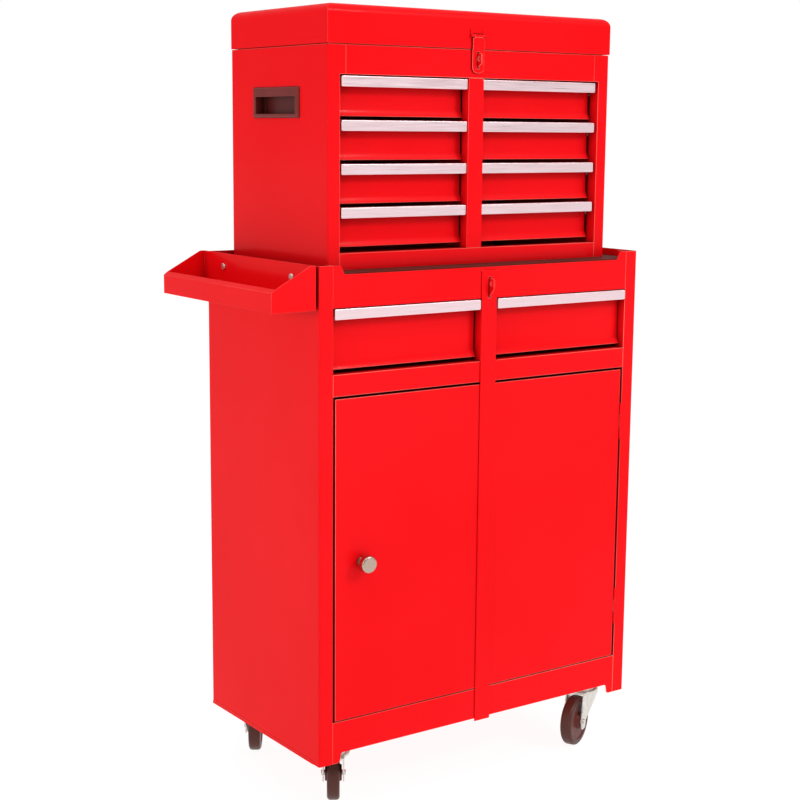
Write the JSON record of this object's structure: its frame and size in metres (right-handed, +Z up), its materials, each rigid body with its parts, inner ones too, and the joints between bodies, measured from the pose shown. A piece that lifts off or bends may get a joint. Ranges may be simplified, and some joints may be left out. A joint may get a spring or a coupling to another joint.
{
  "type": "rolling tool chest",
  "caption": "Tall red sheet-steel tool cabinet on swivel casters: drawer chest with lid on a base with wide drawers, a door and a hanging side tray.",
  "frame": {"origin": "on the floor, under the middle of the bounding box at rest", "axes": "+Z up, -Y out of the front with the drawers and the door, +X to the object's right as seen from the front"},
  "size_m": [0.6278, 0.3402, 1.097],
  "materials": {
    "red_paint": "gloss",
    "pull_aluminium": "satin",
    "zinc_steel": "satin",
    "nickel": "brushed",
    "black_plastic": "moulded",
    "mat_rubber": "ribbed",
    "wheel_rubber": "moulded"
  },
  "bodies": {
    "base": {"base_back": "red_paint", "base_bottom": "red_paint", "base_deck": "red_paint", "base_divider": "red_paint", "base_drawer_channels": "zinc_steel", "base_left_side": "red_paint", "base_right_side": "red_paint", "base_staple": "red_paint", "base_top_pan": "red_paint", "caster_plates": "zinc_steel", "door_hinges": "red_paint", "side_tray": "red_paint", "side_tray_screws": "zinc_steel", "top_mat": "mat_rubber"},
    "door": {"door": "red_paint", "door_hinge_leaves": "red_paint", "door_knob": "nickel", "lock_strip": "red_paint"},
    "chest": {"carry_cups": "black_plastic", "chest_back": "red_paint", "chest_bottom": "red_paint", "chest_divider": "red_paint", "chest_drawer_channels": "zinc_steel", "chest_left_side": "red_paint", "chest_right_side": "red_paint", "chest_staple": "red_paint", "chest_till_floor": "red_paint", "chest_top_rail": "red_paint", "lid_hinge": "red_paint"},
    "lid": {"lid": "red_paint", "hasp_hinge": "red_paint"},
    "hasp": {"hasp_strap": "red_paint"},
    "base_left_drawer": {"base_left_drawer": "red_paint", "base_left_drawer_pull": "pull_aluminium"},
    "base_right_drawer": {"base_right_drawer": "red_paint", "base_right_drawer_pull": "pull_aluminium"},
    "chest_left_drawer_1": {"chest_left_drawer_1": "red_paint", "chest_left_drawer_1_pull": "pull_aluminium"},
    "chest_left_drawer_2": {"chest_left_drawer_2": "red_paint", "chest_left_drawer_2_pull": "pull_aluminium"},
    "chest_left_drawer_3": {"chest_left_drawer_3": "red_paint", "chest_left_drawer_3_pull": "pull_aluminium"},
    "chest_left_drawer_4": {"chest_left_drawer_4": "red_paint", "chest_left_drawer_4_pull": "pull_aluminium"},
    "chest_right_drawer_1": {"chest_right_drawer_1": "red_paint", "chest_right_drawer_1_pull": "pull_aluminium"},
    "chest_right_drawer_2": {"chest_right_drawer_2": "red_paint", "chest_right_drawer_2_pull": "pull_aluminium"},
    "chest_right_drawer_3": {"chest_right_drawer_3": "red_paint", "chest_right_drawer_3_pull": "pull_aluminium"},
    "chest_right_drawer_4": {"chest_right_drawer_4": "red_paint", "chest_right_drawer_4_pull": "pull_aluminium"},
    "caster_front_left_fork": {"caster_front_left_fork": "zinc_steel"},
    "caster_front_left_wheel": {"caster_front_left_wheel": "wheel_rubber"},
    "caster_front_right_fork": {"caster_front_right_fork": "zinc_steel"},
    "caster_front_right_wheel": {"caster_front_right_wheel": "wheel_rubber"},
    "caster_rear_left_fork": {"caster_rear_left_fork": "zinc_steel"},
    "caster_rear_left_wheel": {"caster_rear_left_wheel": "wheel_rubber"},
    "caster_rear_right_fork": {"caster_rear_right_fork": "zinc_steel"},
    "caster_rear_right_wheel": {"caster_rear_right_wheel": "wheel_rubber"}
  },
  "joints": [
    {"name": "chest_lift", "type": "slide", "parent": "base", "child": "chest", "axis": [0, 0, 1], "range_m": [0, 0.15]},
    {"name": "door_swing", "type": "hinge", "parent": "base", "child": "door", "pos_m": [0.29, -0.14857, 0.363], "axis": [0, 0, 1], "range_deg": [0, 110]},
    {"name": "lid_swing", "type": "hinge", "parent": "chest", "child": "lid", "pos_m": [0.0355, 0.14373, 1.0455], "axis": [-1, 0, 0], "range_deg": [0, 95]},
    {"name": "hasp_swing", "type": "hinge", "parent": "lid", "child": "hasp", "pos_m": [0.0355, -0.11567, 1.0635], "axis": [-1, 0, 0], "range_deg": [0, 150]},
    {"name": "base_left_drawer_slide", "type": "slide", "parent": "base", "child": "base_left_drawer", "axis": [0, -1, 0], "range_m": [0, 0.22]},
    {"name": "base_right_drawer_slide", "type": "slide", "parent": "base", "child": "base_right_drawer", "axis": [0, -1, 0], "range_m": [0, 0.22]},
    {"name": "chest_left_drawer_1_slide", "type": "slide", "parent": "chest", "child": "chest_left_drawer_1", "axis": [0, -1, 0], "range_m": [0, 0.19]},
    {"name": "chest_left_drawer_2_slide", "type": "slide", "parent": "chest", "child": "chest_left_drawer_2", "axis": [0, -1, 0], "range_m": [0, 0.19]},
    {"name": "chest_left_drawer_3_slide", "type": "slide", "parent": "chest", "child": "chest_left_drawer_3", "axis": [0, -1, 0], "range_m": [0, 0.19]},
    {"name": "chest_left_drawer_4_slide", "type": "slide", "parent": "chest", "child": "chest_left_drawer_4", "axis": [0, -1, 0], "range_m": [0, 0.19]},
    {"name": "chest_right_drawer_1_slide", "type": "slide", "parent": "chest", "child": "chest_right_drawer_1", "axis": [0, -1, 0], "range_m": [0, 0.19]},
    {"name": "chest_right_drawer_2_slide", "type": "slide", "parent": "chest", "child": "chest_right_drawer_2", "axis": [0, -1, 0], "range_m": [0, 0.19]},
    {"name": "chest_right_drawer_3_slide", "type": "slide", "parent": "chest", "child": "chest_right_drawer_3", "axis": [0, -1, 0], "range_m": [0, 0.19]},
    {"name": "chest_right_drawer_4_slide", "type": "slide", "parent": "chest", "child": "chest_right_drawer_4", "axis": [0, -1, 0], "range_m": [0, 0.19]},
    {"name": "front_left_swivel", "type": "hinge", "parent": "base", "child": "caster_front_left_fork", "pos_m": [-0.1945, -0.10837, 0.085], "axis": [0, 0, 1], "continuous": true},
    {"name": "front_left_roll", "type": "hinge", "parent": "caster_front_left_fork", "child": "caster_front_left_wheel", "pos_m": [-0.17925, -0.08489, 0.038], "axis": [-0.8387, 0.5446, 0], "continuous": true},
    {"name": "front_right_swivel", "type": "hinge", "parent": "base", "child": "caster_front_right_fork", "pos_m": [0.2655, -0.10837, 0.085], "axis": [0, 0, 1], "continuous": true},
    {"name": "front_right_roll", "type": "hinge", "parent": "caster_front_right_fork", "child": "caster_front_right_wheel", "pos_m": [0.24033, -0.12065, 0.038], "axis": [0.4384, -0.8988, 0], "continuous": true},
    {"name": "rear_left_swivel", "type": "hinge", "parent": "base", "child": "caster_rear_left_fork", "pos_m": [-0.1945, 0.11243, 0.085], "axis": [0, 0, 1], "continuous": true},
    {"name": "rear_left_roll", "type": "hinge", "parent": "caster_rear_left_fork", "child": "caster_rear_left_wheel", "pos_m": [-0.17884, 0.13564, 0.038], "axis": [-0.829, 0.5592, 0], "continuous": true},
    {"name": "rear_right_swivel", "type": "hinge", "parent": "base", "child": "caster_rear_right_fork", "pos_m": [0.2655, 0.11243, 0.085], "axis": [0, 0, 1], "continuous": true},
    {"name": "rear_right_roll", "type": "hinge", "parent": "caster_rear_right_fork", "child": "caster_rear_right_wheel", "pos_m": [0.2835, 0.13387, 0.038], "axis": [-0.766, 0.6428, 0], "continuous": true}
  ]
}
